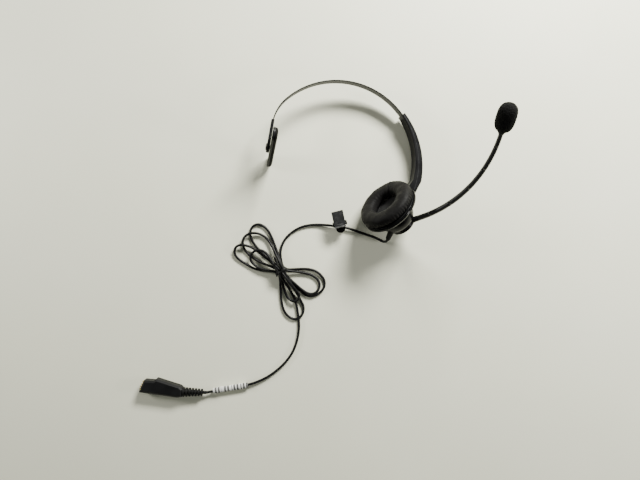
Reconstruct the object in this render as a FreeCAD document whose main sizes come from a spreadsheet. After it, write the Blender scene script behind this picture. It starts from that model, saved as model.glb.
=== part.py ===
import FreeCAD, Part
import math
import os
import re

import Sketcher

# A one-ear call-centre headset lying on a table: sprung headband with a temple pad, adjusting arm, ear cup
# on a ball joint, turning boom turret with a bendable boom and microphone, and a cord with a clothing clip,
# a tied hank, a label sleeve and a quick-disconnect plug. Millimetres, +Z up, the table at Z = 0.

os.makedirs("parts", exist_ok=True)
doc = FreeCAD.newDocument("office_headset")
V = FreeCAD.Vector

# ---------------------------------------------------------------------------- driving dimensions

SIZES = {
    # headband
    "band_radius": 77.6,
    "band_end_radius": 40,
    "band_width": 9,
    "band_thickness": 0.9,
    "band_tail_angle": 8,
    "band_turn_angle": 130.5,
    "band_end_angle": 170,
    "stem_length": 23,
    "stem_thickness": 3,
    "temple_length": 58,
    "temple_width": 14,
    "temple_core": 2.2,
    "temple_cushion": 3,
    "temple_lean": 23.5,
    # adjusting arm
    "arm_width": 14,
    "arm_mouth_angle": 37,
    "channel_gap": 0.25,
    "slide_room_angle": 14,
    # ear cup
    "cup_radius": 28,
    "cup_depth": 6.5,
    "cup_wall": 1.5,
    "cushion_radius": 29,
    "cushion_hole": 11.5,
    "cushion_height": 13,
    "ball_radius": 4,
    "ball_depth": 12,
    "liner_radius": 5.4,
    # housing behind the cup, and the boom's turret
    "dome_radius": 18.2,
    "dome_centre": 8.9,
    "dome_front": 10.5,
    "dome_back": 19.6,
    "turret_radius": 12.5,
    "turret_front": 20.4,
    "turret_back": 26,
    "axle_radius": 2.4,
    "boom_start": 19.7,
    "boom_radius": 2.65,
    "boom_tip_radius": 1.85,
    "boom_bend_radius": 129,
    "boom_bend_angle": 51,
    "boom_gap": 0.85,
    # microphone
    "mic_radius": 5,
    "mic_wall": 0.9,
    "foam_radius": 8.4,
    "foam_length": 25.5,
    # cord and what is on it
    "cord_diameter": 2.5,
    "hank_height": 12,
    "clip_width": 11.5,
    "clip_length": 17,
    "clip_sheet": 1,
    "sleeve_radius": 2.5,
    "plug_height": 10,
    "rib_radius": 4.7,
    "rib_count": 7,
}

sheet = doc.addObject("Spreadsheet::Sheet", "Sizes")
for row, (alias, number) in enumerate(SIZES.items(), 1):
    sheet.set(f"A{row}", alias)
    sheet.set(f"B{row}", str(number))
    sheet.setAlias(f"B{row}", alias)
doc.recompute()

# ---------------------------------------------------------------------------- helpers


def value(text):
    """The number of a sum such as 'cup_radius - 2*cup_wall', with spaces only round its signs."""
    total, sign = 0.0, 1.0
    for word in str(text).split():
        if word in ("+", "-"):
            sign = 1.0 if word == "+" else -1.0
            continue
        product = -sign if word.startswith("-") else sign
        for factor in word.lstrip("-").split("*"):
            product *= SIZES[factor] if factor in SIZES else float(factor)
        total += product
        sign = 1.0
    return total


def bind(thing, name, text):
    """Bind one size of an object to the sheet, if the sum names any of the sheet's cells."""
    formula = re.sub(r"[a-z]\w+", lambda found: "Sizes." + found.group(), str(text))
    if formula != str(text):
        thing.setExpression(name, formula)


def frame(origin, up, along):
    """A placement at origin, with its z axis along up and its x axis as near to along as that allows."""
    return FreeCAD.Placement(origin, FreeCAD.Rotation(along, V(), up, "ZXY"))


def moved(place, x=0.0, y=0.0, z=0.0, axis=V(0, 0, 1), angle=0.0):
    """The placement shifted, and then turned, in its own axes."""
    return place.multiply(FreeCAD.Placement(V(x, y, z), FreeCAD.Rotation(axis, angle)))


def point_of(place, x, y, z):
    """A point given in the placement's own axes, in the part's frame."""
    return place.multVec(V(x, y, z))


def solid(kind, label, place, **sizes):
    """A Part primitive with its sizes bound to the sheet."""
    thing = doc.addObject(kind, label)
    for name, text in sizes.items():
        setattr(thing, name, value(text))
        bind(thing, name, text)
    thing.Placement = place
    return thing


def cylinder(label, place, radius, height):
    return solid("Part::Cylinder", label, place, Radius=radius, Height=height)


def box(label, place, length, width, height):
    """A box that stands on the placement's xy plane, centred on its z axis."""
    corner = moved(place, -0.5 * value(length), -0.5 * value(width))
    return solid("Part::Box", label, corner, Length=length, Width=width, Height=height)


def cut(label, base, *tools):
    """The base with the tools taken away."""
    taken = tools[0]
    if len(tools) > 1:
        taken = doc.addObject("Part::MultiFuse", label + "_tools")
        taken.Shapes = list(tools)
    result = doc.addObject("Part::Cut", label)
    result.Base = base
    result.Tool = taken
    return result


def fuse(label, *pieces):
    result = doc.addObject("Part::MultiFuse", label)
    result.Shapes = list(pieces)
    return result


def common(label, base, tool):
    result = doc.addObject("Part::Common", label)
    result.Base = base
    result.Tool = tool
    return result


def outline(sketch, points):
    """A closed outline. A point is (x, y), reached by a straight line, or (x, y, radius), reached by an arc
    with its centre on the left of the way if the radius is positive and on the right if it is negative."""
    corners = [V(value(point[0]), value(point[1]), 0) for point in points]
    edges = []
    for i, point in enumerate(points):
        first, last = corners[i - 1], corners[i]
        if len(point) == 2:
            edges.append((sketch.addGeometry(Part.LineSegment(first, last), False), 1, 2))
            continue
        radius = value(point[2])
        half = (last - first) * 0.5
        side = V(-half.y, half.x, 0).normalize() * math.copysign(1, radius)
        centre = first + half + side * math.sqrt(radius**2 - half.Length**2)
        middle = centre - side * abs(radius)
        if radius > 0:
            edges.append((sketch.addGeometry(Part.Arc(first, middle, last), False), 1, 2))
        else:
            edges.append((sketch.addGeometry(Part.Arc(last, middle, first), False), 2, 1))
        size = sketch.addConstraint(Sketcher.Constraint("Radius", edges[-1][0], abs(radius)))
        bind(sketch, f"Constraints[{size}]", str(point[2]).lstrip("-"))
    for i, (edge, _, end) in enumerate(edges):
        following, start, _ = edges[(i + 1) % len(edges)]
        sketch.addConstraint(Sketcher.Constraint("Coincident", edge, end, following, start))
        for direction, number, text in (
            ("DistanceX", corners[i].x, points[i][0]),
            ("DistanceY", corners[i].y, points[i][1]),
        ):
            size = sketch.addConstraint(Sketcher.Constraint(direction, -1, 1, edge, end, number))
            bind(sketch, f"Constraints[{size}]", text)


def body_with_sketch(label, place, plane, points):
    body = doc.addObject("PartDesign::Body", label)
    body.Placement = place
    sketch = body.newObject("Sketcher::SketchObject", label + "_outline")
    support = next(item for item in body.Origin.OriginFeatures if item.Role == plane)
    sketch.AttachmentSupport = [(support, "")]
    sketch.MapMode = "FlatFace"
    outline(sketch, points)
    return body, sketch


def turned(label, place, points):
    """A body turned about the placement's z axis from an outline of (radius, height) points."""
    body, sketch = body_with_sketch(label, place, "XZ_Plane", points)
    turn = body.newObject("PartDesign::Revolution", label + "_turn")
    turn.Profile = sketch
    turn.ReferenceAxis = (sketch, ["V_Axis"])
    turn.Angle = 360
    return body


def padded(label, place, points, height):
    """A body of an outline on the placement's xy plane, raised by height."""
    body, sketch = body_with_sketch(label, place, "XY_Plane", points)
    pad = body.newObject("PartDesign::Pad", label + "_pad")
    pad.Profile = sketch
    pad.Length = value(height)
    bind(pad, "Length", height)
    return body


def soften(body, kind, size, wanted):
    """Round (Fillet) or bevel (Chamfer) the body's edges that wanted accepts, in the body's own axes."""
    doc.recompute()
    base = body.Tip
    names = [f"Edge{i}" for i, edge in enumerate(base.Shape.Edges, 1) if wanted(edge)]
    feature = body.newObject("PartDesign::" + kind, f"{body.Name}_{kind.lower()}_{len(body.Group)}")
    feature.Base = (base, names)
    measure = "Radius" if kind == "Fillet" else "Size"
    setattr(feature, measure, value(size))
    bind(feature, measure, size)
    return body


def flat_at(*heights):
    """Accepts the edges that lie in one of the planes at these heights."""
    return lambda edge: any(
        abs(edge.BoundBox.ZMin - value(height)) < 1e-3 and abs(edge.BoundBox.ZMax - value(height)) < 1e-3
        for height in heights
    )


def upright(edge):
    """Accepts the edges that run straight up."""
    box_of_edge = edge.BoundBox
    return box_of_edge.ZLength > 0.5 and box_of_edge.XLength < 1e-3 and box_of_edge.YLength < 1e-3


def sector(label, place, inner, outer, height, start, sweep):
    """Part of a ring about the placement's z axis, with its height centred on the placement's xy plane."""
    low = moved(place, z=-0.5 * value(height), angle=value(start))
    whole = solid("Part::Cylinder", label + "_outer", low, Radius=outer, Height=height, Angle=sweep)
    core = solid("Part::Cylinder", label + "_core", moved(low, z=-1), Radius=inner, Height=f"{height} + 2")
    return cut(label, whole, core)


def ring_points(inner, outer, low, high):
    """The outline of a ring with a rectangular section, for turned."""
    return [(inner, low), (outer, low), (outer, high), (inner, high)]


# ---------------------------------------------------------------------------- frames

# The middle of the box round everything but the cord, on the table.
ORIGIN = V(51.37, 79.22, 0)

# The headband's plane rises towards the temple. Its axes start at the centre of the band's main arc,
# about which the band slides in the arm.
BAND_UP = V(0.134, 0, 1).normalize()
BAND = frame(V(18.2, 75.2, 18.07) - ORIGIN, BAND_UP, V(1, 0, 0))

# The cup's axes start in the middle of its front rim: z towards the ear, x level.
CUP_UP = V(-0.61, 0.61, 0.5)
CUP = frame(V(65.8, 30.5, 25.1) - ORIGIN, CUP_UP, V(1, 1, 0))

# The boom starts on the turret's axis. Its axes: x along its root, z towards the inside of its bend.
BOOM_TURN = -44.6
BOOM_TWIST = -18
TURRET = moved(CUP, z=-0.5 * (value("turret_front") + value("turret_back")), angle=BOOM_TURN)
BOOM = moved(TURRET, axis=V(1, 0, 0), angle=BOOM_TWIST)
SEGMENTS = 5


def along_boom(angle):
    """The boom's frame at an angle of its bend, with z along the boom and y along the bend's axis."""
    turn = math.radians(angle)
    radius = value("boom_bend_radius")
    start = moved(BOOM, value("boom_start") + radius * math.sin(turn), 0, radius * (1 - math.cos(turn)))
    return moved(start, axis=V(0, 1, 0), angle=90 - angle)


MIC = along_boom(value("boom_bend_angle"))

# ---------------------------------------------------------------------------- headband and temple pad


def headband():
    """The spring strip on edge: a long arc that runs into the arm, and a tighter arc at the temple."""
    half = "0.5*band_thickness"
    long_arc = sector(
        "band_long_arc", BAND, f"band_radius - {half}", f"band_radius + {half}", "band_width",
        "band_tail_angle", "band_turn_angle - band_tail_angle",
    )
    shift = value("band_radius - band_end_radius")
    turn = math.radians(value("band_turn_angle"))
    end_centre = moved(BAND, shift * math.cos(turn), shift * math.sin(turn))
    end_arc = sector(
        "band_end_arc", end_centre, f"band_end_radius - {half}", f"band_end_radius + {half}", "band_width",
        "band_turn_angle", "band_end_angle - band_turn_angle",
    )
    return fuse("headband_strip", long_arc, end_arc), end_centre


def band_stop():
    """The rivet head near the strip's tail that keeps it from leaving the arm.

    Its flat end stands a hundredth of a millimetre off the strip, whose face curves towards it at the edges.
    """
    stud = moved(BAND, angle=value("band_tail_angle + 1.6"))
    inward = moved(stud, value("band_radius - 0.5*band_thickness - 0.61"), axis=V(0, 1, 0), angle=90)
    return cylinder("band_stop", inward, 1.2, 0.6)


def temple_frames(end_centre):
    """The stem's frame at the temple rivet (x outwards, y along the stem), and the pad's, which leans."""
    end = moved(end_centre, angle=value("band_end_angle"))
    rivet = moved(end, value("band_end_radius"), value("stem_length"))
    return rivet, moved(rivet, axis=V(1, 0, 0), angle=value("temple_lean"))


def temple_stem(rivet):
    """The moulded end cap: a flat tongue from the strip's end to the rivet, on the outside of the pad."""
    side = moved(rivet, x=-1.3, axis=V(0, 1, 0), angle=90)
    tongue = padded(
        "temple_stem_tongue", side,
        [
            ("5", "-stem_length - 3"), ("5.4", 0), (0, "5.4", 5.4), ("-5.4", 0, 5.4),
            ("-5", "-stem_length - 3"),
        ],
        "stem_thickness",
    )
    soften(tongue, "Fillet", 0.9, flat_at("stem_thickness"))
    return tongue


def temple_bar(pad, rivet_bore):
    """The hard core of the temple pad, a flat bar with round ends."""
    back = moved(pad, x=-1.5, axis=V(0, 1, 0), angle=-90)
    blank = padded("temple_bar_blank", back, bar_points("temple_width"), "temple_core")
    soften(blank, "Fillet", 0.6, flat_at(0))
    return cut("temple_bar", blank, rivet_bore)


def bar_points(width):
    """A bar with round ends along x, centred on the origin."""
    end = f"0.5*temple_length - 0.5*{width}"
    return [
        (f"{end}", f"-0.5*{width}"),
        (f"{end}", f"0.5*{width}", f"0.5*{width} + 0.01"),
        (f"-0.5*temple_length + 0.5*{width}", f"0.5*{width}"),
        (f"-0.5*temple_length + 0.5*{width}", f"-0.5*{width}", f"0.5*{width} + 0.01"),
    ]


def temple_cushion(pad):
    """The soft face of the temple pad."""
    face = moved(pad, x=-1.5 - value("temple_core"), axis=V(0, 1, 0), angle=-90)
    cushion = padded("temple_cushion", face, bar_points("temple_width"), "temple_cushion")
    soften(cushion, "Fillet", 1.8, flat_at("temple_cushion"))
    return cushion


def temple_rivet(rivet):
    """The rivet that the pad turns on: a shank through the bar and the stem, with a domed outer head."""
    inward = moved(rivet, axis=V(0, 1, 0), angle=90)
    return turned(
        "temple_rivet", inward,
        [(0, -3.6), (2, -3.6), (2, 1.7), (3.4, 1.7), (3.0, 2.4), (0, 2.8)],
    )


# ---------------------------------------------------------------------------- adjusting arm


def arm_blank():
    """The arm's whole outline, seen along the band's axis: a curved upper part and a bent foot."""
    low = moved(BAND, z=-0.5 * value("arm_width"))
    arm = padded(
        "arm_blank", low,
        [
            (60.7, 45.9), (72.0, -17.0, -79), (61, -32), (50, -42), (62, -50), (72.4, -33.2), (80.4, -18.4),
            (63.8, 48.1, 82),
        ],
        "arm_width",
    )
    soften(
        arm, "Fillet", 5,
        lambda edge: upright(edge) and edge.CenterOfMass.y < -10 and edge.CenterOfMass.x > 60,
    )
    soften(arm, "Fillet", 1.1, flat_at(0, "arm_width"))
    return arm


def arm_parts(dome):
    """The arm's two shells, which meet on the strip's arc and leave a channel for the strip between them."""
    blank = arm_blank()
    start = "-slide_room_angle"
    sweep = "arm_mouth_angle + slide_room_angle + 6"
    channel = sector(
        "arm_channel", BAND, "band_radius - 0.5*band_thickness - channel_gap",
        "band_radius + 0.5*band_thickness + channel_gap", "band_width + 0.6", start, sweep,
    )
    stop_groove = sector(
        "arm_stop_groove", BAND, "band_radius - 1.3", "band_radius", 3, start, "arm_mouth_angle + 6"
    )
    spring_pocket = sector("arm_spring_pocket", BAND, "band_radius", "band_radius + 1.6", 5, 15, 12)
    split = cylinder("arm_split", moved(BAND, z=-30), "band_radius", 60)
    turret_room = cylinder("arm_turret_room", moved(CUP, z=-60), 22, "60 - dome_back")
    foot = cut("arm_foot", blank, turret_room, dome, cup_room())
    screws = arm_screws()
    outer = cut("arm_outer_shell", foot, split, channel, spring_pocket, screws)
    inner_half = common("arm_inner_half", foot, split)
    inner = cut("arm_inner_shell", inner_half, channel, stop_groove, screws)
    spring = sector("detent_spring", BAND, "band_radius + 0.9", "band_radius + 1.2", 4, 16, 10)
    return [outer, inner, screws, spring]


def cup_room():
    """The space that the cup sweeps as it tilts and turns on its ball."""
    return turned(
        "arm_cup_room", CUP,
        [(0, -9.7), (22.6, -9.7), (26.6, -8.7), (29.9, -6.4), (30.3, -4), (33.5, 14), (0, 14)],
    )


def arm_screws():
    """Two screws that hold the shells together, driven from the inner side."""
    screws = []
    for number, angle in enumerate((-19, -27), 1):
        radial = moved(BAND, angle=angle)
        inside = moved(radial, 73.5, axis=V(0, 1, 0), angle=90)
        shank = cylinder(f"arm_screw_{number}_shank", inside, 0.9, 7)
        head = cylinder(f"arm_screw_{number}_head", inside, 1.7, 1.6)
        screws.append(fuse(f"arm_screw_{number}", shank, head))
    return fuse("arm_screws", *screws)


# ---------------------------------------------------------------------------- housing and ball joint


def dome_blank():
    """The solid that the housing is hollowed from: a ball cut off at its front and back."""
    ball = solid("Part::Sphere", "dome_ball", moved(CUP, z=-value("dome_centre")), Radius="dome_radius")
    slab = cylinder("dome_slab", moved(CUP, z=-value("dome_back")), 30, "dome_back - dome_front")
    return common("dome_blank", ball, slab)


def housing(blank, gland):
    """The domed shell: open in front for the socket plate, with a bearing hole in its back."""
    hollow = solid(
        "Part::Cone", "dome_hollow", moved(CUP, z=-17.8),
        Radius1=12.6, Radius2=16.1, Height="17.8 - dome_front - 2",
    )
    seat = cylinder("dome_seat", moved(CUP, z=-12.5), 16.1, 3)
    bearing = cylinder("dome_bearing", moved(CUP, z=-22), "axle_radius", 6)
    return cut("housing_shell", blank, hollow, seat, bearing, gland)


def socket_plate():
    """The plate that closes the housing and holds the ball joint's liner."""
    plate = turned(
        "socket_blank", CUP,
        [(3, -16), (7.4, -16), (7.4, -12.5), (16.1, -12.5), (16.1, -10.9), (15.7, -10.5), (3, -10.5)],
    )
    seat = solid(
        "Part::Sphere", "socket_seat", moved(CUP, z=-value("ball_depth")), Radius="liner_radius + 0.05"
    )
    return cut("socket_plate", plate, seat)


def ball_liner():
    """The slit ring between the ball and its socket."""
    centre = moved(CUP, z=-value("ball_depth"))
    outer = solid("Part::Sphere", "liner_outer", centre, Radius="liner_radius")
    band = cylinder("liner_band", moved(centre, z=-3.2), 6, 5.2)
    ring = common("liner_ring", outer, band)
    inner = solid("Part::Sphere", "liner_inner", centre, Radius="ball_radius + 0.05")
    return cut("ball_liner", ring, inner)


def ball_stud():
    """The ball and its post, with the flange that sits inside the cup."""
    ball = solid("Part::Sphere", "stud_ball", moved(CUP, z=-value("ball_depth")), Radius="ball_radius")
    post = cylinder("stud_post", moved(CUP, z=-value("ball_depth")), 2, "ball_depth - 4")
    flange = cylinder("stud_flange", moved(CUP, z=-5), 6, 1)
    return fuse("ball_stud", ball, post, flange)


# ---------------------------------------------------------------------------- ear cup


def ear_shell(screws):
    """The cup's back, a shallow dish with a thin rim."""
    dish = turned(
        "ear_dish", CUP,
        [
            (2, "-cup_depth"), (18, "-cup_depth"), (25.2, "-4.3", 14), ("cup_radius", "-1.7", 6),
            ("cup_radius", 0), ("cup_radius - 1.6", 0), ("cup_radius - 1.6", -1.4), (24.2, -3.1),
            (17.6, "-cup_depth + cup_wall"), (2, "-cup_depth + cup_wall"),
        ],
    )
    return cut("ear_shell", dish, screws)


def cup_screws():
    """Three countersunk screws through the baffle into the shell."""
    screws = []
    for number in range(3):
        place = moved(moved(CUP, angle=120 * number + 30), 22, 0, -4.7)
        shank = cylinder(f"cup_screw_{number}_shank", place, 0.8, 4.5)
        head = solid(
            "Part::Cone", f"cup_screw_{number}_head", moved(place, z=3.6), Radius1=0.8, Radius2=1.6, Height=0.9
        )
        screws.append(fuse(f"cup_screw_{number}", shank, head))
    return fuse("cup_screws", *screws)


def baffle(screws):
    """The front plate, with rings of sound holes in front of the speaker."""
    plate = turned("baffle_plate", CUP, ring_points(0, "cup_radius - 1.6", -1.4, -0.2))
    holes = [cylinder("baffle_hole_0", moved(CUP, z=-2), 0.9, 3)]
    for ring, (count, radius) in enumerate(((6, 3.4), (12, 6.8), (18, 10.2)), 1):
        for number in range(count):
            place = moved(moved(CUP, angle=360 / count * number), radius, 0, -2)
            holes.append(cylinder(f"baffle_hole_{ring}_{number}", place, 0.9, 3))
    return cut("baffle", plate, screws, *holes)


def speaker():
    """The driver behind the baffle, from its basket to its diaphragm."""
    basket = turned(
        "speaker_basket", CUP,
        [(8.1, -3.4), (17, -3.4), (17, -1.4), (16, -1.4), (16, -2.5), (8.1, -2.5)],
    )
    magnet = turned("speaker_magnet", CUP, [(0, -3.9), (8, -3.9), (8, -2.5), (0, -2.5)])
    coil = turned("voice_coil", CUP, ring_points(5.2, 5.8, -2.45, -1.9))
    diaphragm = turned("diaphragm", CUP, [(0, -1.8), (15.8, -1.8), (15.8, -1.6), (0, -1.6)])
    return [basket, magnet, coil, diaphragm]


def cushion():
    """The plain solid of the soft ring, with the hole that the ear faces."""
    return turned(
        "ear_cushion", CUP,
        [
            ("cushion_hole + 1.5", 0.2), ("cushion_radius - 1.8", 0.2), ("cushion_radius", 3.2),
            ("cushion_radius", "cushion_height - 7"), ("cushion_radius - 7", "cushion_height", 7.01),
            ("cushion_hole + 6.5", "cushion_height"), ("cushion_hole", "cushion_height - 6.5", 6.51),
            ("cushion_hole", 2),
        ],
    )


def cup_trim():
    """The thin pieces between the baffle and the cushion, and the terminal board behind the speaker."""
    cloth = turned("acoustic_cloth", CUP, [(0, -0.2), (12.4, -0.2), (12.4, 0), (0, 0)])
    ring = turned("cushion_ring", CUP, ring_points(13, "cup_radius - 1.7", -0.2, 0.2))
    board = box("terminal_board", moved(CUP, 13, 0, -4.7), 8, 6, 0.8)
    return [cloth, ring, board]


# ---------------------------------------------------------------------------- turret and boom


def turret():
    """The disc that the boom turns with, its cap, and the axle and washer that it turns on."""
    edge = 1.2
    disc = turned(
        "turret_body", CUP,
        [
            ("axle_radius + 0.05", "-turret_back + 1.2"), (9, "-turret_back + 1.2"), (9, "-turret_back"),
            (f"turret_radius - {edge}", "-turret_back"), ("turret_radius", f"-turret_back + {edge}", 1.21),
            ("turret_radius", f"-turret_front - {edge}"), (f"turret_radius - {edge}", "-turret_front", 1.21),
            ("axle_radius + 0.05", "-turret_front"),
        ],
    )
    cap = turned(
        "turret_cap", CUP,
        [
            (0, "-turret_back"), (7.9, "-turret_back"), (8.9, "-turret_back + 0.6"),
            (8.9, "-turret_back + 1.1"), (0, "-turret_back + 1.1"),
        ],
    )
    axle = turned(
        "turret_axle", CUP,
        [
            (0, "-turret_back + 1.3"), ("axle_radius", "-turret_back + 1.3"), ("axle_radius", -17.8),
            (4, -17.8), (4, -16.6), (0, -16.6),
        ],
    )
    washer = turned("detent_washer", CUP, ring_points("axle_radius", 7, "-dome_back - 0.5", "-dome_back"))
    return disc, cap, axle, washer


def boom_root(disc_room):
    """The flared stub that joins the boom to the turret."""
    outwards = moved(TURRET, 8, axis=V(0, 1, 0), angle=90)
    stub = solid(
        "Part::Cone", "boom_root_blank", outwards, Radius1=3.2, Radius2="boom_radius",
        Height="boom_start - 8 - 0.5*boom_gap",
    )
    return cut("boom_root", stub, disc_room)


def boom_segments():
    """The bendable boom as a row of short tapered links, each hinged to the next."""
    step = value("boom_bend_angle") / SEGMENTS
    taper = (value("boom_radius") - value("boom_tip_radius")) / SEGMENTS
    links = []
    for number in range(SEGMENTS):
        start = along_boom(step * number)
        end = along_boom(step * (number + 1))
        way = end.Base - start.Base
        link = solid(
            "Part::Cone", f"boom_link_{number + 1}",
            moved(frame(start.Base, way, start.Rotation.multVec(V(1, 0, 0))), z=0.5 * value("boom_gap")),
            Radius1=value("boom_radius") - taper * number, Radius2=value("boom_radius") - taper * (number + 1),
            Height=way.Length - value("boom_gap"),
        )
        links.append(link)
    return links


# ---------------------------------------------------------------------------- microphone


def microphone():
    """The boot, the two-part housing, the capsule inside it and the foam windscreen over it."""
    inner = "mic_radius - mic_wall"
    boot = turned("mic_boot", MIC, [(0, 0), (2.3, 0), (2.8, 1), (2.8, 4), (0, 4)])
    back = turned(
        "mic_housing_back", MIC,
        [(0, 4), (3.4, 4), ("mic_radius", 5.6, 1.7), ("mic_radius", 11), (inner, 11), (inner, 6), (0, 6)],
    )
    front = turned(
        "mic_housing_front", MIC,
        [(inner, 11), ("mic_radius", 11), ("mic_radius", 16), (3, 18, 2.1), (0.8, 18), (0.8, 17), (inner, 17)],
    )
    capsule = turned("mic_capsule", MIC, ring_points(0, "mic_radius - mic_wall - 0.1", 8, 14))
    tip = "1.5 + foam_length"
    foam = turned(
        "windscreen", MIC,
        [
            (2.9, 1.5), (4.2, 1.5), ("foam_radius", 9, 9.2), ("foam_radius", "foam_length - 8"),
            (0.6, tip, 9.2), (0, tip), (0, 18.1), ("mic_radius + 0.1", 18.1),
            ("mic_radius + 0.1", 3.9), (2.9, 3.9),
        ],
    )
    return [boot, back, front, capsule, foam]


# ---------------------------------------------------------------------------- cord

# The route of the cord from its strain relief to the hank, and from the hank to the plug.
LEAD_ROUTE = [
    (66.2, 0.5, 10.8), (65.6, -1.8, 6.4), (62.4, -1.6, 2.6), (57.0, 1.6, 1.35), (47.5, 5.2, 1.4),
    (37.0, 8.4, 1.9), (28.0, 12.0, 3.1), (12.0, 14.4, 3.1), (-4.0, 15.6, 1.4), (-16.4, 14.0, 1.35),
    (-26.0, 9.4, 1.35), (-33.8, 2.6, 1.35), (-38.2, -5.2, 1.4), (-39.8, -13.6, 2.2), (-38.6, -22.0, 3.6),
]
TAIL_ROUTE = [
    (-21.6, -76.0, 1.5), (-20.2, -88.0, 1.35), (-24.6, -108.0, 1.35), (-34.4, -122.6, 1.35),
    (-48.6, -134.6, 1.4), (-60.0, -140.4, 1.9), (-70.4, -143.9, 2.6), (-88.4, -147.2, 2.6),
    (-103.0, -149.4, 2.8), (-112.4, -151.2, 4.4),
]


def cord_tube(label, route):
    """A round tube along straight runs joined by tangent arcs as large as the runs allow."""
    points = [V(*point) - ORIGIN for point in route]
    radius = 0.5 * value("cord_diameter")
    edges, bends, at = [], [], points[0]
    for before, corner, after in zip(points, points[1:], points[2:]):
        into, away = (corner - before).normalize(), (after - corner).normalize()
        turn = into.getAngle(away)
        shorter = min(before.distanceToPoint(corner), corner.distanceToPoint(after))
        reach = 0.45 * shorter
        bend = reach / math.tan(turn / 2)
        bends.append(bend)
        first, last = corner - into * reach, corner + away * reach
        inward = (away - into).normalize()
        middle = corner + inward * (bend / math.cos(turn / 2) - bend)
        edges += [Part.LineSegment(at, first).toShape(), Part.Arc(first, middle, last).toShape()]
        at = last
    edges.append(Part.LineSegment(at, points[-1]).toShape())
    path = Part.Wire(edges)
    section = Part.Wire([Part.makeCircle(radius, points[0], points[1] - points[0])])
    tube = doc.addObject("Part::Feature", label)
    tube.Shape = path.makePipeShell([section], True, False)
    expected = math.pi * radius**2 * path.Length
    print(f"{label}: length {path.Length:.1f}, radii {' '.join(f'{bend:.0f}' for bend in bends)}")
    if abs(tube.Shape.Volume / expected - 1) > 0.02:
        raise ValueError(f"{label} has volume {tube.Shape.Volume:.0f} where {expected:.0f} is expected")
    return tube


def hank():
    """The outer shape of the tied hank, a bow with loops on both sides of its waist."""
    table = FreeCAD.Placement(V() - ORIGIN, FreeCAD.Rotation())
    points = [
        (-62, 17), (-53, 14), (-43, -13), (-38, -24), (-19, -26), (-1, -31), (6, -41), (5, -51), (-8, -57),
        (-16, -61), (-16, -72), (-20, -79), (-29, -81), (-37, -73), (-41, -58), (-41.5, -37), (-57, -30),
        (-71, -24), (-84, -17), (-87, -8), (-83, -3), (-77, 2), (-70, 8), (-70, 14),
    ]
    return padded("cord_hank", table, points, "hank_height")


def hank_tie():
    """The twist tie round the hank's waist, with its two ends standing off."""
    waist = frame(V(-39.4, -31.2, 0) - ORIGIN, V(0, 0, 1), V(0.55, -0.83, 0))
    outer = box("tie_outer", moved(waist, z=0.2), 3, 11, 11)
    inner = box("tie_inner", moved(waist, z=1), 4, 9.4, 9.4)
    ring = cut("tie_ring", outer, inner)
    ends = []
    for number, side in enumerate((-1, 1)):
        root = moved(waist, 0, side * 5, 9.5, V(1, 0, 0), -side * 62)
        ends.append(box(f"tie_end_{number}", root, 2.4, 0.9, 11))
    return fuse("hank_tie", ring, *ends)


def gland():
    """The ribbed strain relief that leads the cord out of the housing, down towards the table."""
    start = V(69.0, 10.3, 22.7) - ORIGIN
    tip = V(*LEAD_ROUTE[0]) - ORIGIN
    way = tip - start
    place = frame(start, way, V(1, 0, 0))
    points = [(0, 0), (3.1, 0), (3.1, 3)]
    grooves = 4
    pitch = (way.Length - 5) / grooves
    for number in range(grooves):
        low = 3 + pitch * number
        rib = 3.0 - 0.18 * number
        step = low + 0.4 * pitch
        points += [(rib - 0.6, low), (rib - 0.6, step), (rib, step), (rib, low + pitch)]
    points += [(2.1, way.Length - 2), (1.9, way.Length), (0, way.Length)]
    return turned("strain_relief", place, points)


# ---------------------------------------------------------------------------- clothing clip

CORD_AT_CLIP = V(*LEAD_ROUTE[7]) - V(*LEAD_ROUTE[6])
CLIP_MIDDLE = (V(*LEAD_ROUTE[6]) + V(*LEAD_ROUTE[7])) * 0.5 - ORIGIN
CLIP = frame(CLIP_MIDDLE, V(0.069, -0.292, 0.955), V(0.973, 0.230, 0))
PIN_Y = 5.2
PIN_Z = 7.6


def clip_holder():
    """The clasp round the cord, with the post that the clip swivels on."""
    barrel_length = 9
    along_cord = frame(CLIP_MIDDLE, CORD_AT_CLIP, V(0, 0, 1))
    barrel = cylinder("clip_barrel", moved(along_cord, z=-0.5 * barrel_length), 3, barrel_length)
    post = cylinder("clip_post", CLIP, 2.4, 4.2)
    knob = cylinder("clip_knob", moved(CLIP, z=4.2), 1.5, 2.2)
    head = cylinder("clip_knob_head", moved(CLIP, z=6.1), 2.4, 0.5)
    bore = cylinder("clip_cord_bore", moved(along_cord, z=-10), "0.5*cord_diameter + 0.05", 20)
    whole = fuse("clip_holder_blank", barrel, post, knob, head)
    return cut("clip_holder", whole, bore)


def clip_base():
    """The lower jaw: a disc on the holder's post, a flat jaw, and two ears for the pin."""
    disc = cylinder("clip_disc", moved(CLIP, z=4.3), 4.6, 1.7)
    middle = moved(CLIP, 0, 0.5 * value("clip_length") + 1, 4.3)
    jaw = box("clip_lower_jaw", middle, "clip_width", "clip_length - 2", "clip_sheet")
    ears = []
    for number, side in enumerate((-1, 1)):
        across = side * (0.5 * value("clip_width") + 0.65)
        ears.append(box(f"clip_ear_{number}", moved(CLIP, across, PIN_Y, 4.3), 1.1, 3.4, PIN_Z - 4.3 + 1.6))
        ears.append(box(f"clip_ear_foot_{number}", moved(CLIP, side * 5.6, PIN_Y, 4.3), 1.9, 3.4, "clip_sheet"))
    bore = cylinder("clip_disc_bore", moved(CLIP, z=0), 1.55, 6.05)
    head_room = cylinder("clip_head_room", moved(CLIP, z=6.05), 2.5, 4)
    whole = fuse("clip_base_blank", disc, jaw, *ears)
    return cut("clip_base", whole, bore, head_room, clip_pin_at("clip_pin_bore", 0.8))


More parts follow.
